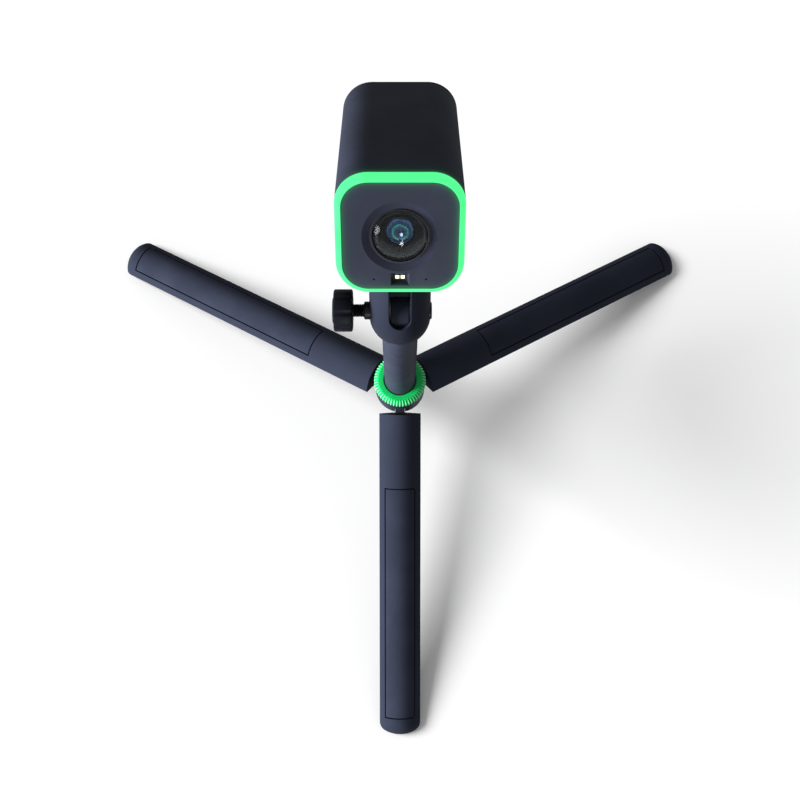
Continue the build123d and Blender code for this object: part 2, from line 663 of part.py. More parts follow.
def sensor_holder():
    """Square socket between the barrel and the sensor board."""
    back = CAM_FRONT + 22.4
    body = block(-9, 9, back - 4, back, CAM_MID_Z - 9, CAM_MID_Z + 9)
    body -= rod(7.6, back - 5, back - 2.0, "Y", (0, CAM_MID_Z))
    return body - block(-5, 5, back - 3, back + 1, CAM_MID_Z - 5, CAM_MID_Z + 5)


# ---------------------------------------------------------------- electronics
def front_board():
    """Board behind the bezel: ring lights, flash and microphones sit on it."""
    size = CAM_WIDTH - 2 * CAM_WALL - 0.2
    front = CAM_FRONT + 4.5
    body = lying_tile(size, size, CAM_CORNER - CAM_WALL, front, front + 1.2)
    return body - rod(11.0, front - 1, front + 3, "Y", (0, CAM_MID_Z))


def ring_leds():
    front = CAM_FRONT + 4.5
    half = CAM_WIDTH / 2 - GLOW_WIDTH - 1.2
    straight = half - CAM_CORNER + GLOW_WIDTH
    leds = []
    for step in (-0.9, -0.3, 0.3, 0.9):
        run = step * straight
        for x, z in ((run, half), (run, -half), (half, run), (-half, run)):
            leds.append(block(x - 0.7, x + 0.7, front - 0.7, front, CAM_MID_Z + z - 0.7, CAM_MID_Z + z + 0.7))
    return leds


def flash_leds():
    front = CAM_FRONT + 4.5
    z = CAM_MID_Z - FLASH_DROP
    return [block(x - 0.7, x + 0.7, front - 2.25, front, z - 0.7, z + 0.7) for x in (-1.0, 1.0)]


def microphones():
    front = CAM_FRONT + 4.5
    z = CAM_MID_Z - FLASH_DROP
    return [rod(1.6, front - 1.85, front, "Y", (x, z)) for x in (-MIC_SPACING / 2, MIC_SPACING / 2)]


def main_board():
    low = board_z()
    body = block(-17, 17, -16, 53, low, low + 1.2) + block(-6, 6, 53, 56, low, low + 1.2)
    for x, y in board_post_places():
        body -= rod(1.1, low - 1, low + 2, at=(x, y))
    return body


def board_chips():
    top = board_z() + 1.2
    processor = block(-6, 6, 12, 24, top, top + 1.2)
    memory = block(-5, 5, 28, 36, top, top + 1.0)
    power = block(8, 12, 26, 31, top, top + 1.0)
    return [processor, memory, power]


def heat_sink():
    base = board_z() + 2.4
    body = block(-10, 10, 9, 27, base, base + 1.5)
    for i in range(6):
        x = -10 + i * 3.76
        body += block(x, x + 1.2, 9, 27, base, base + 9)
    return body


def usb_c_receptacle():
    z = usb_z()
    back = CAM_BACK - 0.6
    body = lying_tile(8.94, 3.26, 1.6, back - 7.4, back, z)
    body -= lying_tile(8.3, 2.6, 1.27, back - 6.4, back + 1, z)
    return body + block(-3.3, 3.3, back - 6.6, back - 1.2, z - 0.35, z + 0.35)


def sensor_cable():
    """Flat cable from the sensor board down to the main board."""
    back = CAM_FRONT + 23.6
    top = board_z() + 1.2
    body = block(-4, 4, back, back + 0.3, top + 0.3, CAM_MID_Z - 4)
    return body + block(-4, 4, back, back + 9, top, top + 0.3)


# ---------------------------------------------------------------- assembly
def head_place():
    """From the level head's own frame to its pitched place on the column."""
    return Pos(0, 0, RING_Z + TILT_Z) * Rot(-PITCH, 0, 0)


def add(name, shape):
    parts[name] = shape


def build_base():
    add("hub_body", hub_body())
    add("hub_base", hub_base())
    add("hub_base_screws", hub_base_screws())
    add("leg_hinge_pins", leg_hinge_pins())
    add("pan_screw", pan_screw())
    add("pan_washers", pan_washers())
    add("lock_ring", lock_ring())
    for side, azimuth in LEG_AZIMUTHS.items():
        place = leg_place(azimuth)
        add(f"leg_{side}_shell", fitted_leg_shell(azimuth))
        add(f"leg_{side}_panel", place * leg_panel())
        add(f"leg_{side}_tongue", place * leg_tongue())
        add(f"leg_{side}_screws", [place * screw for screw in leg_screws()])
        add(f"leg_{side}_foot", leg_foot(azimuth))


def build_column():
    add("column_tube", column_tube())
    add("column_foot", column_foot())
    add("column_head", column_head())


HEAD_PARTS = (tilt_housing, friction_washers, side_collar, cap_nut, head_plate, plate_screws, plate_pad,
              camera_screw, knob_grip, knob_cap, clamp_bolt, body_shell, tripod_insert, light_ring,
              front_bezel, rear_cover, case_screws, lens_dome, lens_retainer, lens_barrel, front_element,
              rear_elements, aperture_stop, sensor_board, image_sensor, sensor_holder,
              front_board, ring_leds, flash_leds, microphones, main_board, board_chips,
              heat_sink, usb_c_receptacle, sensor_cable)


def build_head():
    place = head_place()
    for make in HEAD_PARTS:
        shape = make()
        if isinstance(shape, list):
            add(make.__name__, [place * piece for piece in shape])
        else:
            add(make.__name__, place * shape)


def pieces_of(shape):
    """The separate solids of one node."""
    group = shape if isinstance(shape, list) else [shape]
    return [solid for piece in group for solid in piece.solids()]


def footprint_shift():
    """How far the hub axis stands behind the middle of the open object's footprint."""
    boxes = [solid.bounding_box() for shape in parts.values() for solid in pieces_of(shape)]
    return -(min(box.min.Y for box in boxes) + max(box.max.Y for box in boxes)) / 2


def write_parts(shift):
    os.makedirs("parts", exist_ok=True)
    for name, shape in parts.items():
        solids = [Pos(0, shift, 0) * solid for solid in pieces_of(shape)]
        export_step(Compound(solids), f"parts/{name}.step")


build_base()
build_column()
build_head()
hub_y = footprint_shift()
write_parts(hub_y)
pivot_r, pivot_z = pivot_point()
print(f"hub axis y {hub_y:.4f}, leg pivots radius {pivot_r:.4f} height {pivot_z:.4f}")
print(f"tilt axis height {RING_Z + TILT_Z:.4f}")
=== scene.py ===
import json
import math

import bmesh
import bpy
from mathutils import Matrix, Vector


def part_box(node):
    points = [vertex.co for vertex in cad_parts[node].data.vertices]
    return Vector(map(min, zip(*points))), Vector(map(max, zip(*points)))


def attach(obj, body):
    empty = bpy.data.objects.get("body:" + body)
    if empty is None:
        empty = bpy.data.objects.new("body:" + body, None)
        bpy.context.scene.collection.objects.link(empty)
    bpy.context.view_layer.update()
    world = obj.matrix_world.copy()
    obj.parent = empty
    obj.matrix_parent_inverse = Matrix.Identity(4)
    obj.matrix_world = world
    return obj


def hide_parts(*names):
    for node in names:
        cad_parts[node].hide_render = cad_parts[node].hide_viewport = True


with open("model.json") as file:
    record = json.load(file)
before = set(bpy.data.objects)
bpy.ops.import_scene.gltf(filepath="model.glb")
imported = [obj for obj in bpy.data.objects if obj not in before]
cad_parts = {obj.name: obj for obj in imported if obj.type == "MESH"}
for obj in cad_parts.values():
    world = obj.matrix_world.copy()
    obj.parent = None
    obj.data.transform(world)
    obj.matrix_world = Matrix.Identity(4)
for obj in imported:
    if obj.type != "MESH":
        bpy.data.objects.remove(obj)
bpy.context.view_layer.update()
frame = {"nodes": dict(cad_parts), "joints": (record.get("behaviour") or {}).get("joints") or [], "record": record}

NODES = frame["nodes"]
MM = 0.001

# ---------------------------------------------------------------- places and sizes, from the frame
PITCH = math.radians(44.5)                 # the webcam's upward tilt on its clamp


def joint_place(name):
    """Where a joint's axis passes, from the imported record."""
    for joint in frame["joints"]:
        if joint["name"] == name:
            return Vector(joint["pos_m"])
    raise KeyError(name)


def middle(node):
    low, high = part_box(node)
    return (Vector(low) + Vector(high)) / 2


TILT_AXIS = joint_place("head_tilt")
RING_MIDDLE = middle("lock_ring")
HEAD_FRAME = Matrix.Translation(TILT_AXIS) @ Matrix.Rotation(-PITCH, 4, "X")

# ---------------------------------------------------------------- sizes of the finer pieces, metres
RING_R = 13.16 * MM                        # lock ring: rib crests, bevel, bores
RING_RIBS = 52
RIB_HEIGHT = 0.5 * MM
RING_HALF = 3.0 * MM
BEVEL_VALLEY = 13.63 * MM                  # radius plus height on the bevel, between its ribs
BEVEL_CREST = 14.36 * MM                   # and on them
RING_FLAT_R = 11.1 * MM
RING_BORE = 10.25 * MM
RING_NECK = 8.18 * MM
CAM_HALF = 23.7 * MM                       # webcam: half width, corner, front and optical axis
CAM_CORNER = 12.3 * MM
CAM_FRONT = -34.5 * MM
CAM_MID_Z = 50.3 * MM
GLOW_WIDTH = 2.3 * MM
GLOW_DEPTH = 3.7 * MM
KNOB_R = 8.6 * MM
KNOB_ENDS = (-26.8 * MM, -19.1 * MM)
KNOB_LOBES = 8
BOLT_R = 2.75 * MM
BOLT_ENDS = (-24.3 * MM, 11.3 * MM)
THREAD_ENDS = (-19.0 * MM, -14.6 * MM)
THREAD_PITCH = 0.75 * MM
THREAD_DEPTH = 0.4 * MM
LENS_R = 10.7 * MM                         # lens: retainer, dome cover, front element, barrel
DOME_R = LENS_R - 0.5 * MM
DOME_CURVE = 14.0 * MM
DOME_THICK = 1.2 * MM
FRONT_LENS_R = 5.6 * MM
FRONT_LENS_CURVE = 10.6 * MM
FRONT_LENS_THICK = 2.2 * MM
BARREL_RIDGES = 9
GLOW_NEAR = 0.8 * MM                       # the ring's light on nearby surfaces: reach, strength
GLOW_FAR = 4.5 * MM
GLOW_NEAR_STRENGTH = 0.16
GLOW_FAR_STRENGTH = 0.012
GLOW_RECESS = (0.3 * MM, 0.9 * MM)         # depth over which it ends inside the face's recesses
GLOW_COLOUR = (0.03, 1.0, 0.27, 1)
GLOW_CATCHERS = ("casing_plastic", "face_plastic", "housing_plastic")
SMOOTH_ANGLE = math.radians(38)            # steeper edges than this stay sharp

# ---------------------------------------------------------------- view
VIEW_ELEVATION = math.radians(78.57)
VIEW_DISTANCE = 0.6423                     # camera to the middle of the lock ring, along the view
VIEW_DROP = 0.00992                        # the ring's middle is this far above the view's centre
VIEW_LENS = 56.8

# ---------------------------------------------------------------- studio
FLOOR_REACH = 4.0
WORLD_AS_LIGHT = 0.36
WORLD_AS_SEEN = 1.0
SWEEP_ENERGY = 3.4
SWEEP_ANGLE = math.radians(32)
SWEEP_DIRECTION = Vector((1.0, -0.15, -1.0))
SIDE_ENERGY = 62.0
WINDOW_ENERGY = 4.0


def add_camera():
    towards = Vector((0, -math.cos(VIEW_ELEVATION), math.sin(VIEW_ELEVATION)))
    up = Vector((0, math.sin(VIEW_ELEVATION), math.cos(VIEW_ELEVATION)))
    data = bpy.data.cameras.new("view")
    data.lens = VIEW_LENS
    data.sensor_width = 36.0
    data.clip_start = 0.01
    data.clip_end = 20.0
    camera = bpy.data.objects.new("view", data)
    camera.location = RING_MIDDLE + towards * VIEW_DISTANCE - up * VIEW_DROP
    camera.rotation_euler = (math.pi / 2 - VIEW_ELEVATION, 0, 0)
    bpy.context.scene.collection.objects.link(camera)
    bpy.context.scene.camera = camera


def add_area(name, place, aim, size, energy):
    data = bpy.data.lights.new(name, "AREA")
    data.shape = "RECTANGLE"
    data.size = size[0]
    data.size_y = size[1]
    data.energy = energy
    lamp = bpy.data.objects.new(name, data)
    lamp.location = place
    lamp.rotation_euler = (Vector(aim) - Vector(place)).to_track_quat("-Z", "Y").to_euler()
    bpy.context.scene.collection.objects.link(lamp)
    return lamp


def add_floor():
    mesh = bpy.data.meshes.new("floor")
    reach = FLOOR_REACH
    corners = [(-reach, -reach, 0), (reach, -reach, 0), (reach, reach, 0), (-reach, reach, 0)]
    mesh.from_pydata(corners, [], [(0, 1, 2, 3)])
    floor = bpy.data.objects.new("floor", mesh)
    bpy.context.scene.collection.objects.link(floor)
    material = bpy.data.materials.new("floor_white")
    material.use_nodes = True
    shader = material.node_tree.nodes["Principled BSDF"]
    shader.inputs["Base Color"].default_value = (0.93, 0.93, 0.935, 1)
    shader.inputs["Roughness"].default_value = 0.75
    shader.inputs["Specular IOR Level"].default_value = 0.25
    mesh.materials.append(material)
    floor.visible_glossy = False
    floor.visible_diffuse = False
    return floor


def light_only(lamp, floor, lights_floor):
    """The lamp lights the floor alone, or everything but the floor."""
    group = bpy.data.collections.new(lamp.name + "_receivers")
    group.objects.link(floor)
    group.collection_objects[0].light_linking.link_state = "INCLUDE" if lights_floor else "EXCLUDE"
    lamp.light_linking.receiver_collection = group


def add_studio(floor):
    """A white sweep with soft shadows to the right, and a low light from the object's left."""
    world = bpy.data.worlds.new("studio")
    world.use_nodes = True
    background = world.node_tree.nodes["Background"]
    background.inputs["Color"].default_value = (1.0, 1.0, 1.0, 1.0)
    path = world.node_tree.nodes.new("ShaderNodeLightPath")
    seen = world.node_tree.nodes.new("ShaderNodeMapRange")
    seen.inputs["To Min"].default_value = WORLD_AS_LIGHT
    seen.inputs["To Max"].default_value = WORLD_AS_SEEN
    world.node_tree.links.new(path.outputs["Is Camera Ray"], seen.inputs["Value"])
    world.node_tree.links.new(seen.outputs["Result"], background.inputs["Strength"])
    bpy.context.scene.world = world
    data = bpy.data.lights.new("sweep_key", "SUN")
    data.energy = SWEEP_ENERGY
    data.angle = SWEEP_ANGLE
    sweep = bpy.data.objects.new("sweep_key", data)
    sweep.rotation_euler = SWEEP_DIRECTION.to_track_quat("-Z", "Y").to_euler()
    bpy.context.scene.collection.objects.link(sweep)
    light_only(sweep, floor, True)
    side = add_area("side_key", (-1.1, -0.3, 0.38), (0, 0, 0.1), (0.5, 0.5), SIDE_ENERGY)
    light_only(side, floor, False)
    side.visible_glossy = False
    window = add_area("window", (0.1, -1.3, 0.5), (0, 0, 0.24), (0.22, 0.34), WINDOW_ENERGY)
    light_only(window, floor, False)
    bpy.context.scene.view_settings.view_transform = "Standard"
    bpy.context.scene.view_settings.look = "None"


# ---------------------------------------------------------------- materials
class Graph:
    """A short way to write one material's nodes."""

    def __init__(self, name):
        self.material = bpy.data.materials.new(name)
        self.material.use_nodes = True
        self.tree = self.material.node_tree
        self.shader = self.tree.nodes["Principled BSDF"]
        self.place = self.add("ShaderNodeTexCoord").outputs["Object"]

    def add(self, kind, **values):
        node = self.tree.nodes.new(kind)
        for key, value in values.items():
            setattr(node, key, value)
        return node

    def link(self, source, target):
        self.tree.links.new(source, target)

    def set(self, **values):
        for key, value in values.items():
            self.shader.inputs[key.replace("_", " ")].default_value = value

    def noise(self, scale, detail=2.0, roughness=0.5, distortion=0.0, place=None):
        node = self.add("ShaderNodeTexNoise")
        node.inputs["Scale"].default_value = scale
        node.inputs["Detail"].default_value = detail
        node.inputs["Roughness"].default_value = roughness
        node.inputs["Distortion"].default_value = distortion
        self.link(place or self.place, node.inputs["Vector"])
        return node.outputs["Fac"]

    def cells(self, scale, feature="F1"):
        node = self.add("ShaderNodeTexVoronoi", feature=feature)
        node.inputs["Scale"].default_value = scale
        self.link(self.place, node.inputs["Vector"])
        return node.outputs["Distance"]

    def span(self, value, low, high, to_low, to_high):
        node = self.add("ShaderNodeMapRange")
        self.link(value, node.inputs["Value"])
        node.inputs["From Min"].default_value = low
        node.inputs["From Max"].default_value = high
        node.inputs["To Min"].default_value = to_low
        node.inputs["To Max"].default_value = to_high
        return node.outputs["Result"]

    def ramp(self, value, stops):
        node = self.add("ShaderNodeValToRGB")
        self.link(value, node.inputs["Fac"])
        points = node.color_ramp.elements
        while len(points) < len(stops):
            points.new(0.5)
        for point, (position, colour) in zip(points, stops):
            point.position = position
            point.color = (*colour, 1)
        return node.outputs["Color"]

    def mix(self, factor, first, second, blend="MIX"):
        node = self.add("ShaderNodeMix", data_type="RGBA", blend_type=blend)
        factor_at, first_at, second_at = (node.inputs[i] for i in (0, 6, 7))
        for value, socket in ((factor, factor_at), (first, first_at), (second, second_at)):
            if isinstance(value, (int, float)):
                socket.default_value = value
            elif isinstance(value, tuple):
                socket.default_value = (*value, 1)
            else:
                self.link(value, socket)
        return node.outputs[2]

    def math(self, operation, first, second=0.0):
        node = self.add("ShaderNodeMath", operation=operation)
        for value, socket in ((first, node.inputs[0]), (second, node.inputs[1])):
            if isinstance(value, (int, float)):
                socket.default_value = value
            else:
                self.link(value, socket)
        return node.outputs[0]

    def bump(self, height, strength, distance, under=None):
        node = self.add("ShaderNodeBump")
        node.inputs["Strength"].default_value = strength
        node.inputs["Distance"].default_value = distance
        self.link(height, node.inputs["Height"])
        if under is not None:
            self.link(under, node.inputs["Normal"])
        return node.outputs["Normal"]

    def head_place(self):
        """Coordinates of the level webcam, for materials on CAD nodes that lie in the row frame."""
        node = self.add("ShaderNodeMapping")
        back = HEAD_FRAME.inverted()
        node.inputs["Rotation"].default_value = back.to_euler()
        node.inputs["Location"].default_value = back.translation
        self.link(self.place, node.inputs["Vector"])
        split = self.add("ShaderNodeSeparateXYZ")
        self.link(node.outputs["Vector"], split.inputs["Vector"])
        return split.outputs

    def beyond(self, value, limit):
        """How far a value passes a limit, or zero."""
        return self.math("MAXIMUM", self.math("SUBTRACT", value, limit), 0.0)

    def length(self, first, second):
        first = self.math("POWER", first, 2.0)
        second = self.math("POWER", second, 2.0)
        return self.math("SQRT", self.math("ADD", first, second))

    def fading(self, distance, reach, strength):
        """A strength that falls off exponentially over a reach."""
        share = self.math("EXPONENT", self.math("MULTIPLY", distance, -1 / reach))
        return self.math("MULTIPLY", share, strength)

    def colour(self, socket):
        self.link(socket, self.shader.inputs["Base Color"])

    def rough(self, socket):
        self.link(socket, self.shader.inputs["Roughness"])

    def normal(self, socket):
        self.link(socket, self.shader.inputs["Normal"])


def shade(colour, factor):
    return tuple(min(1.0, c * factor) for c in colour)


def catch_glow(g, flat):
    """Green light from the ring on surfaces near it, fading with their distance from the lit band.

    A flat face catches it only at its front, not down in its recesses.
    """
    x, y, z = g.head_place()
    z = g.math("SUBTRACT", z, CAM_MID_Z)
    straight = CAM_HALF - CAM_CORNER
    corner_x = g.beyond(g.math("ABSOLUTE", x), straight)
    corner_z = g.beyond(g.math("ABSOLUTE", z), straight)
    outside = g.math("SUBTRACT", g.length(corner_x, corner_z), CAM_CORNER)
    inward = g.beyond(g.math("MULTIPLY", outside, -1.0), GLOW_WIDTH)
    across = g.math("MAXIMUM", inward, outside)
    behind = g.beyond(y, CAM_FRONT + GLOW_DEPTH)
    away = g.length(across, behind)
    close = g.fading(away, GLOW_NEAR, GLOW_NEAR_STRENGTH)
    wide = g.fading(away, GLOW_FAR, GLOW_FAR_STRENGTH)
    lit = g.math("ADD", close, wide)
    if flat:
        start, end = (CAM_FRONT + depth for depth in GLOW_RECESS)
        lit = g.math("MULTIPLY", lit, g.span(y, start, end, 1.0, 0.0))
    g.link(lit, g.shader.inputs["Emission Strength"])
    g.set(Emission_Color=GLOW_COLOUR)


def moulded(name, colour, rough, grain=0.25, level=0.12, coat=0.0):
    """Moulded plastic or paint: spark texture, faint mottling, worn and dusty high spots."""
    g = Graph(name)
    mottle = g.noise(55.0, 4.0, 0.6)
    speck = g.noise(1900.0, 2.0, 0.7)
    base = g.ramp(mottle, [(0.3, shade(colour, 0.96)), (0.7, shade(colour, 1.05))])
    specks = g.span(speck, 0.35, 0.68, 0.0, 0.16)
    base = g.mix(specks, base, shade(colour, 1.9))
    edge = g.add("ShaderNodeNewGeometry").outputs["Pointiness"]
    sharp = g.span(edge, 0.53, 0.6, 0.0, 0.35)
    worn = g.math("MULTIPLY", sharp, g.span(mottle, 0.4, 0.65, 0.2, 1.0))
    g.colour(g.mix(worn, base, shade(colour, 2.2)))
    smear = g.noise(16.0, 5.0, 0.65, 0.6)
    gloss = g.span(smear, 0.3, 0.7, rough - 0.05, rough + 0.06)
    g.rough(g.math("ADD", gloss, g.span(speck, 0.3, 0.7, -0.04, 0.04)))
    pits = g.math("ADD", speck, g.math("MULTIPLY", g.cells(2600.0), 0.6))
    g.normal(g.bump(pits, grain, 0.00006))
    g.set(Specular_IOR_Level=level, Coat_Weight=coat, Coat_Roughness=0.3)
    if name in GLOW_CATCHERS:
        catch_glow(g, name == "face_plastic")
    return g.material


def machined(name, colour, rough, ring_scale=900.0):
    """Turned or brushed metal with fine tool lines and a little tarnish."""
    g = Graph(name)
    stretch = g.add("ShaderNodeMapping")
    stretch.inputs["Scale"].default_value = (0.15, 1.0, 1.0)
    g.link(g.place, stretch.inputs["Vector"])
    lines = g.noise(ring_scale, 3.0, 0.7, place=stretch.outputs["Vector"])
    stain = g.noise(240.0, 3.0, 0.6)
    g.colour(g.ramp(stain, [(0.3, shade(colour, 0.82)), (0.7, shade(colour, 1.08))]))
    gloss = g.span(lines, 0.3, 0.7, rough - 0.08, rough + 0.08)
    g.rough(g.math("ADD", gloss, g.span(stain, 0.3, 0.7, -0.05, 0.08)))
    g.normal(g.bump(lines, 0.2, 0.00004))
    g.set(Metallic=1.0)
    return g.material


def rubbery(name, colour):
    """Matt moulded rubber with a fine pebble and grey dust."""
    g = Graph(name)
    dust = g.noise(120.0, 4.0, 0.7)
    g.colour(g.mix(g.span(dust, 0.5, 0.75, 0.0, 0.35), colour, shade(colour, 2.6)))
    pebble = g.cells(1500.0, "SMOOTH_F1")
    g.rough(g.span(dust, 0.3, 0.7, 0.72, 0.9))
    g.normal(g.bump(pebble, 0.35, 0.00008))
    g.set(Specular_IOR_Level=0.3)
    return g.material


def green_ring_plastic():
    """Saturated glossy green, a little translucent, with swirl from the mould and a painted highlight in pale mint
    on its rib crests.
    """
    g = Graph("ring_green_gloss")
    swirl = g.noise(160.0, 3.0, 0.6, 0.8)
    base = g.ramp(swirl, [(0.3, (0.004, 0.33, 0.07)), (0.7, (0.008, 0.43, 0.1))])
    centred = g.add("ShaderNodeMapping")
    centred.inputs["Location"].default_value = -RING_MIDDLE
    g.link(g.place, centred.inputs["Vector"])
    split = g.add("ShaderNodeSeparateXYZ")
    g.link(centred.outputs["Vector"], split.inputs["Vector"])
    radius = g.length(split.outputs["X"], split.outputs["Y"])
    bevel = g.math("ADD", radius, split.outputs["Z"])
    # Painted highlight: the rib crests up the side and over the bevel are mixed towards pale mint, in place of
    # glints on the rib tips.
    side = g.span(radius, RING_R - RIB_HEIGHT, RING_R, 0.0, 1.0)
    crest = g.math("MAXIMUM", side, g.span(bevel, BEVEL_VALLEY, BEVEL_CREST, 0.0, 1.0))
    g.colour(g.mix(g.span(crest, 0.8, 1.0, 0.0, 0.75), base, (0.4, 1.0, 0.62)))
    g.rough(g.span(g.noise(900.0, 3.0, 0.6), 0.3, 0.7, 0.26, 0.38))
    g.normal(g.bump(swirl, 0.08, 0.0001))
    g.set(Subsurface_Weight=0.12, Subsurface_Scale=0.001, Specular_IOR_Level=0.25)
    return g.material


def glow_diffuser():
    """Frosted light guide, lit mint green, with a faint cloudy variation in its glow."""
    g = Graph("glow_diffuser")
    cloud = g.noise(90.0, 2.0, 0.5)
    g.colour(g.ramp(cloud, [(0.3, (0.01, 0.14, 0.04)), (0.7, (0.015, 0.17, 0.05))]))
    g.rough(g.span(g.noise(1500.0, 2.0, 0.5), 0.3, 0.7, 0.36, 0.5))
    glow = g.ramp(cloud, [(0.3, (0.07, 1.0, 0.27)), (0.7, (0.095, 1.0, 0.32))])
    g.link(glow, g.shader.inputs["Emission Color"])
    g.set(Emission_Strength=0.95)
    return g.material


def cover_glass():
    """Clear hard-coated dome: almost black behind it, with a faint cool coating."""
    g = Graph("cover_glass")
    film = g.noise(60.0, 2.0, 0.5)
    g.colour(g.ramp(film, [(0.3, (0.80, 0.88, 0.95)), (0.7, (0.88, 0.93, 0.98))]))
    g.rough(g.span(g.noise(400.0, 4.0, 0.6), 0.35, 0.75, 0.0, 0.02))
    g.set(Transmission_Weight=1.0, IOR=1.22, Coat_Weight=0.25, Coat_Roughness=0.01)
    return g.material


def coated_glass(name, tint, facing):
    """A lens surface with an interference coat that shifts in colour towards the rim."""
    g = Graph(name)
    weight = g.add("ShaderNodeLayerWeight")
    weight.inputs["Blend"].default_value = 0.35
    swirl = g.noise(220.0, 2.0, 0.5)
    turn = g.math("ADD", weight.outputs["Facing"], g.span(swirl, 0.3, 0.7, -0.06, 0.06))
    g.colour(g.ramp(turn, [(0.05, tint), (0.45, facing), (0.9, shade(tint, 0.6))]))
    g.rough(g.span(swirl, 0.3, 0.7, 0.01, 0.05))
    g.set(Metallic=0.75, Coat_Weight=1.0, Coat_Roughness=0.02)
    return g.material


def front_glass():
    """The front lens: blue and teal rings painted by radius round a dark middle, a painted reflection of its
    coated inner surfaces.
    """
    g = Graph("front_glass")
    x, _, z = g.head_place()
    radius = g.length(x, g.math("SUBTRACT", z, CAM_MID_Z))
    swirl = g.noise(420.0, 3.0, 0.6, 1.2)
    share = g.math("DIVIDE", radius, FRONT_LENS_R)
    share = g.math("ADD", share, g.span(swirl, 0.3, 0.7, -0.07, 0.07))
    # Painted reflection: coloured rings set by radius where the coated surfaces would reflect.
    reflection_rings = [(0.0, (0.05, 0.06, 0.15)), (0.22, (0.02, 0.03, 0.07)), (0.42, (0.02, 0.13, 0.17))]
    reflection_rings += [(0.5, (0.09, 0.55, 0.42)), (0.57, (0.01, 0.05, 0.09)), (0.74, (0.03, 0.07, 0.16))]
    reflection_rings += [(0.82, (0.1, 0.26, 0.5)), (0.9, (0.008, 0.01, 0.02))]
    g.colour(g.ramp(share, reflection_rings))
    g.rough(g.span(swirl, 0.3, 0.7, 0.02, 0.12))
    g.normal(g.bump(swirl, 0.12, 0.0001))
    g.set(Metallic=0.55, Specular_IOR_Level=0.5, Coat_Weight=0.6, Coat_Roughness=0.03)
    return g.material


def lamp_chip(name, colour, strength):
    """Phosphor chip: a lit square with a grainy surface."""
    g = Graph(name)
    grain = g.noise(2600.0, 2.0, 0.6)
    g.colour(g.ramp(grain, [(0.3, shade(colour, 0.9)), (0.7, colour)]))
    g.rough(g.span(grain, 0.3, 0.7, 0.35, 0.5))
    glow = g.ramp(grain, [(0.2, shade(colour, 0.85)), (0.8, colour)])
    g.link(glow, g.shader.inputs["Emission Color"])
    g.normal(g.bump(grain, 0.2, 0.00003))
    g.set(Emission_Strength=strength)
    return g.material


def circuit_board():
    """Green solder mask with faint tracks under it."""
    g = Graph("circuit_board")
    tracks = g.add("ShaderNodeTexBrick")
    tracks.inputs["Scale"].default_value = 260.0
    tracks.inputs["Mortar Size"].default_value = 0.06
    g.link(g.place, tracks.inputs["Vector"])
    lift = g.span(tracks.outputs["Fac"], 0.0, 1.0, 0.0, 1.0)
    g.colour(g.mix(lift, (0.008, 0.07, 0.035), (0.02, 0.14, 0.07)))
    g.rough(g.span(g.noise(500.0), 0.3, 0.7, 0.3, 0.45))
    g.normal(g.bump(lift, 0.3, 0.00004))
    return g.material


def make_materials():
    navy = (0.0165, 0.0194, 0.031)
    return {
        "casing": moulded("casing_plastic", navy, 0.55, 0.25, 0.05),
        "face": moulded("face_plastic", (0.0172, 0.019, 0.032), 0.46, 0.12),
        "leg_casing": moulded("leg_plastic", navy, 0.55, 0.35, 0.05),
        "leg_inlay": moulded("leg_inlay_soft", (0.0157, 0.0184, 0.0296), 0.6, 0.5, 0.05),
        "housing_dark": moulded("housing_plastic", (0.0125, 0.0145, 0.0235), 0.48, 0.25, 0.06),
        "column_paint": moulded("column_paint", (0.0185, 0.0215, 0.035), 0.5, 0.2, 0.05),
        "hub_paint": moulded("hub_paint", (0.014, 0.016, 0.026), 0.45),
        "knob_black": moulded("knob_plastic", (0.0045, 0.0052, 0.008), 0.42, 0.2, 0.1),
        "lens_black": moulded("lens_black_matt", (0.003, 0.0034, 0.0045), 0.34, 0.2, 0.25),
        "chip_black": moulded("chip_epoxy", (0.01, 0.01, 0.011), 0.5),
        "acetal": moulded("acetal_white", (0.72, 0.72, 0.7), 0.4, 0.1),
        "cable_film": moulded("cable_film", (0.4, 0.17, 0.03), 0.3, 0.1),
        "steel": machined("turned_steel", (0.52, 0.52, 0.54), 0.32),
        "black_steel": machined("black_oxide_steel", (0.035, 0.035, 0.042), 0.4),
        "tongue_metal": moulded("tongue_cast", (0.012, 0.0125, 0.016), 0.42, 0.5),
        "brass": machined("turned_brass", (0.75, 0.52, 0.22), 0.3),
        "mic_metal": machined("tinned_metal", (0.6, 0.6, 0.58), 0.35),
        "heat_sink_metal": machined("extruded_aluminium", (0.7, 0.71, 0.73), 0.35),
        "rubber_black": rubbery("foot_rubber", (0.012, 0.012, 0.014)),
        "ring_green": green_ring_plastic(),
        "glow": glow_diffuser(),
        "dome_glass": cover_glass(),
        "coated_glass": coated_glass("coated_glass", (0.02, 0.16, 0.3), (0.03, 0.35, 0.3)),
        "front_glass": front_glass(),
        "circuit_board": circuit_board(),
        "sensor_face": coated_glass("sensor_face", (0.05, 0.12, 0.2), (0.1, 0.2, 0.16)),
        "led_white": lamp_chip("ring_lamp_chip", (0.3, 1.0, 0.5), 1.0),
        "led_warm": lamp_chip("flash_chip", (1.0, 0.97, 0.62), 2.0),
    }


MATERIALS = make_materials()


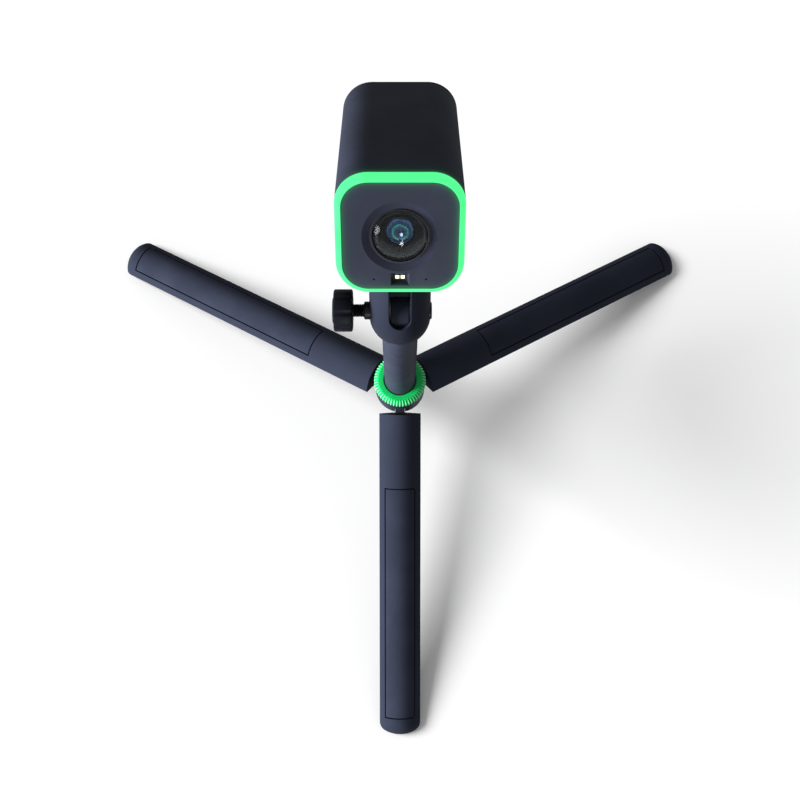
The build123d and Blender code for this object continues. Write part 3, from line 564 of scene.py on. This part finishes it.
# ---------------------------------------------------------------- finer pieces over the CAD nodes
def skin(name, rows, ring=False):
    """A smooth mesh over closed rows of points, capped at both ends unless it is a ring."""
    count = len(rows[0])
    points = [point for row in rows for point in row]
    faces = []
    for step in range(len(rows) if ring else len(rows) - 1):
        low = step * count
        high = (step + 1) % len(rows) * count
        for i in range(count):
            after = (i + 1) % count
            faces.append((low + i, low + after, high + after, high + i))
    if not ring:
        faces.append(tuple(reversed(range(count))))
        faces.append(tuple(range(len(points) - count, len(points))))
    mesh = bpy.data.meshes.new(name)
    mesh.from_pydata(points, [], faces)
    build = bmesh.new()
    build.from_mesh(mesh)
    bmesh.ops.recalc_face_normals(build, faces=build.faces)
    build.to_mesh(mesh)
    build.free()
    mesh.shade_smooth()
    mesh.set_sharp_from_angle(angle=SMOOTH_ANGLE)
    return mesh


def stand_for(mesh, place, body, node, slot):
    """Puts a finer mesh in place of a CAD node, riding on its body."""
    mesh.transform(place)
    piece = bpy.data.objects.new(mesh.name, mesh)
    bpy.context.scene.collection.objects.link(piece)
    mesh.materials.append(MATERIALS[slot])
    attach(piece, body)
    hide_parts(node)


def circle(radius, y, steps):
    """A row of points round the lens axis, at one depth."""
    turns = [2 * math.pi * i / steps for i in range(steps)]
    return [(radius * math.cos(a), y, CAM_MID_Z + radius * math.sin(a)) for a in turns]


def lathe(name, outline, steps=128):
    """A piece turned about the lens axis from a closed run of (radius, depth) stations."""
    return skin(name, [circle(radius, y, steps) for radius, y in outline], True)


def rounded_square(inset, y, corner_steps=20, side_steps=6):
    """A row of points round the webcam's outline, that far inside it."""
    half = CAM_HALF - inset
    radius = CAM_CORNER - inset
    straight = half - radius
    row = []
    for quarter in range(4):
        turn = math.pi / 2 * quarter
        cos, sin = math.cos(turn), math.sin(turn)
        centre_x = straight * (cos - sin)
        centre_z = CAM_MID_Z + straight * (sin + cos)
        for i in range(corner_steps + 1):
            angle = turn + math.pi / 2 * i / corner_steps
            x = centre_x + radius * math.cos(angle)
            row.append((x, y, centre_z + radius * math.sin(angle)))
        for i in range(1, side_steps):
            share = straight * (1 - 2 * i / side_steps)
            row.append((share * cos - half * sin, y, CAM_MID_Z + share * sin + half * cos))
    return row


def light_ring_rows():
    """The lip's quarter ellipse, its inner wall and the thin flange behind the bezel."""
    seam = CAM_FRONT + GLOW_DEPTH
    flange = CAM_FRONT + 2.6 * MM
    rows = []
    for i in range(15):
        angle = math.pi / 2 * i / 14
        rows.append((GLOW_WIDTH * (1 - math.cos(angle)), seam - GLOW_DEPTH * math.sin(angle)))
    rows += [(GLOW_WIDTH, CAM_FRONT + 0.1 * MM), (GLOW_WIDTH, flange)]
    rows += [(GLOW_WIDTH + 2.4 * MM, flange), (GLOW_WIDTH + 2.4 * MM, seam)]
    return [rounded_square(inset, y) for inset, y in rows]


def lock_ring_rows():
    """Fine rounded ribs up the ring's side and over its bevel, round a smooth flat top."""
    side = RING_R - RIB_HEIGHT
    lip = 0.75 * MM
    stations = [                              # valley (radius, height), then crest
        ((RING_BORE, -RING_HALF), (RING_BORE, -RING_HALF)),
        ((side - 0.2 * MM, -RING_HALF), (side, -RING_HALF)),
        ((side, -RING_HALF + 0.3 * MM), (RING_R - 0.1 * MM, -RING_HALF + 0.25 * MM)),
        ((side, -RING_HALF + 0.6 * MM), (RING_R, -RING_HALF + 0.5 * MM)),
        ((side, 0.75 * MM), (RING_R, 0.95 * MM)),
        ((side - 0.2 * MM, 1.15 * MM), (RING_R - 0.2 * MM, 1.4 * MM)),
        ((RING_FLAT_R + 0.2 * MM, 2.35 * MM), (RING_FLAT_R + 0.4 * MM, 2.8 * MM)),
        ((RING_FLAT_R, 2.7 * MM), (RING_FLAT_R + 0.1 * MM, RING_HALF - 0.03 * MM)),
        ((RING_FLAT_R - 0.15 * MM, RING_HALF), (RING_FLAT_R - 0.15 * MM, RING_HALF)),
        ((RING_NECK + 0.3 * MM, RING_HALF), (RING_NECK + 0.3 * MM, RING_HALF)),
        ((RING_NECK, RING_HALF - 0.25 * MM), (RING_NECK, RING_HALF - 0.25 * MM)),
        ((RING_NECK, RING_HALF - lip), (RING_NECK, RING_HALF - lip)),
        ((RING_BORE, RING_HALF - lip), (RING_BORE, RING_HALF - lip)),
    ]
    steps = RING_RIBS * 12
    rows = []
    for valley, crest in stations:
        row = []
        for i in range(steps):
            angle = 2 * math.pi * i / steps
            rise = (0.5 + 0.5 * math.cos(angle * RING_RIBS)) ** 0.7
            radius = valley[0] + (crest[0] - valley[0]) * rise
            height = valley[1] + (crest[1] - valley[1]) * rise
            row.append((radius * math.cos(angle), radius * math.sin(angle), height))
        rows.append(row)
    return rows


def lobed(radius, angle):
    """The knob's outline: a circle with eight soft grooves, which fade towards the middle."""
    groove_r = 1.5 * MM
    centre = KNOB_R + 0.9 * MM
    pitch = 2 * math.pi / KNOB_LOBES
    offset = (angle % pitch) - pitch / 2
    reach = groove_r ** 2 - (centre * math.sin(offset)) ** 2
    if reach <= 0:
        return radius
    floor = centre * math.cos(offset) - math.sqrt(reach)
    soft = 0.15 * MM
    blend = max(0.0, soft - abs(floor - KNOB_R)) ** 2 / (4 * soft)
    return radius + min(0.0, min(KNOB_R, floor) - blend - KNOB_R)


def knob_rows():
    """Stations of (depth, radius, share of the grooves) along the knob's axis."""
    low, high = KNOB_ENDS
    edge = [(0.75, 0.0), (0.4, 0.12), (0.15, 0.32), (0.0, 0.7)]    # inset, distance to the end, mm
    outer = [(low + 0.9 * MM, 0.6 * MM, 0), (low + 0.9 * MM, 5.2 * MM, 0)]
    outer += [(low + 0.2 * MM, 5.35 * MM, 0), (low + 0.2 * MM, 6.4 * MM, 0), (low, 6.8 * MM, 0)]
    rim = [(low + away * MM, KNOB_R - inset * MM, 1) for inset, away in edge]
    rim += [(high - away * MM, KNOB_R - inset * MM, 1) for inset, away in reversed(edge)]
    inner = [(high, 6.6 * MM, 0), (high - 0.3 * MM, 6.2 * MM, 0), (high - 0.3 * MM, 4.5 * MM, 0)]
    inner += [(high, 4.2 * MM, 0), (high, BOLT_R, 0), (low + 2.5 * MM, BOLT_R, 0)]
    steps = KNOB_LOBES * 36
    rows = []
    for x, radius, share in outer + rim + inner:
        row = []
        for i in range(steps):
            angle = 2 * math.pi * i / steps
            reach = radius + (lobed(radius, angle) - radius) * share
            row.append((x, reach * math.cos(angle), reach * math.sin(angle)))
        rows.append(row)
    return rows


def bolt_rows():
    """The clamp bolt with its helical thread where it shows between knob and head."""
    low, high = BOLT_ENDS
    start, end = THREAD_ENDS
    turns = 96
    steps = 48
    stations = [(low, 0.4 * MM, 0), (low + 0.4 * MM, 0, 0)]
    for i in range(turns + 1):
        share = i / turns
        stations.append((start + (end - start) * share, 0, min(1.0, 12 * share, 12 * (1 - share))))
    stations += [(high - 0.4 * MM, 0, 0), (high, 0.4 * MM, 0)]
    rows = []
    for x, inset, cut in stations:
        row = []
        for i in range(steps):
            phase = (x - start) / THREAD_PITCH - i / steps
            depth = THREAD_DEPTH * (1 - abs(2 * (phase % 1.0) - 1)) * cut
            radius = BOLT_R - inset - depth
            angle = 2 * math.pi * i / steps
            row.append((x, radius * math.cos(angle), radius * math.sin(angle)))
        rows.append(row)
    return rows


def cap_outline(rim, curve, base, steps=20):
    """From the rim to the middle of a spherical cap that bulges towards the front."""
    centre = base + math.sqrt(curve ** 2 - rim ** 2)
    span = math.asin(rim / curve)
    outline = []
    for i in range(steps):
        angle = span * (1 - i / steps)
        outline.append((curve * math.sin(angle), centre - curve * math.cos(angle)))
    return outline


def add_dome():
    outside = cap_outline(DOME_R, DOME_CURVE, CAM_FRONT + 1.0 * MM)
    inside = [(radius, y + DOME_THICK) for radius, y in reversed(outside)]
    dome = lathe("dome_cover", outside + inside)
    stand_for(dome, HEAD_FRAME, "head", "lens_dome", "dome_glass")


def add_retainer():
    lip = CAM_FRONT + 0.6 * MM
    seat = CAM_FRONT + 4.2 * MM
    bore = 9.2 * MM
    band = [(LENS_R, seat), (LENS_R, lip + 0.12 * MM), (LENS_R - 0.12 * MM, lip)]
    band += [(LENS_R - 0.4 * MM, lip), (DOME_R, lip + 0.12 * MM), (DOME_R, lip + 0.4 * MM)]
    band += [(bore + 0.15 * MM, lip + 0.4 * MM), (bore, lip + 0.55 * MM), (bore, seat)]
    stand_for(lathe("retainer_band", band), HEAD_FRAME, "head", "lens_retainer", "lens_black")


def add_barrel():
    """The stepped barrel, with anti-glare ridges down to the front element."""
    mouth = CAM_FRONT + 1.4 * MM
    end = mouth + 19 * MM
    step = mouth + 6 * MM
    shelf = mouth + 12 * MM
    barrel = [(4.4 * MM, end), (7.6 * MM, end), (7.6 * MM, step), (9.2 * MM, step)]
    barrel += [(9.2 * MM, mouth + 0.1 * MM), (9.1 * MM, mouth), (8.7 * MM, mouth)]
    for i in range(BARREL_RIDGES):
        radius = (8.6 - 2.9 * i / BARREL_RIDGES) * MM
        depth = mouth + (0.25 + 3.2 * i / BARREL_RIDGES) * MM
        barrel.append((radius, depth))
        barrel.append((radius - 0.12 * MM, depth + 0.26 * MM))
        barrel.append((radius - 0.24 * MM, depth + 0.05 * MM))
    barrel += [(FRONT_LENS_R, mouth + 3.4 * MM), (FRONT_LENS_R, shelf), (4.4 * MM, shelf)]
    stand_for(lathe("ridged_barrel", barrel), HEAD_FRAME, "head", "lens_barrel", "lens_black")


def add_front_lens():
    """The front element keeps its slot, with a material of its own."""
    bulge = cap_outline(FRONT_LENS_R, FRONT_LENS_CURVE, CAM_FRONT + 5.2 * MM)
    hollow = [(radius, y + FRONT_LENS_THICK) for radius, y in reversed(bulge)]
    glass = lathe("front_lens", bulge + hollow, 96)
    stand_for(glass, HEAD_FRAME, "head", "front_element", "coated_glass")
    glass.materials[0] = MATERIALS["front_glass"]


def add_finer_pieces():
    ring_place = Matrix.Translation(RING_MIDDLE)
    ring = skin("ribbed_ring", lock_ring_rows(), True)
    stand_for(ring, ring_place, "lock_ring", "lock_ring", "ring_green")
    lip = skin("glow_lip", light_ring_rows(), True)
    stand_for(lip, HEAD_FRAME, "head", "light_ring", "glow")
    knob = skin("lobed_knob", knob_rows())
    stand_for(knob, HEAD_FRAME, "clamp_knob", "knob_grip", "knob_black")
    bolt = skin("threaded_bolt", bolt_rows())
    stand_for(bolt, HEAD_FRAME, "clamp_knob", "clamp_bolt", "black_steel")
    add_dome()
    add_retainer()
    add_barrel()
    add_front_lens()


def dress_cad_nodes():
    """Each CAD node takes the material of its slot in the record."""
    for part in frame["record"]["subparts"]:
        node = NODES[part["node"]]
        node.data.materials.clear()
        node.data.materials.append(MATERIALS[part["material_slot"]])


dress_cad_nodes()
add_finer_pieces()
add_camera()
add_studio(add_floor())
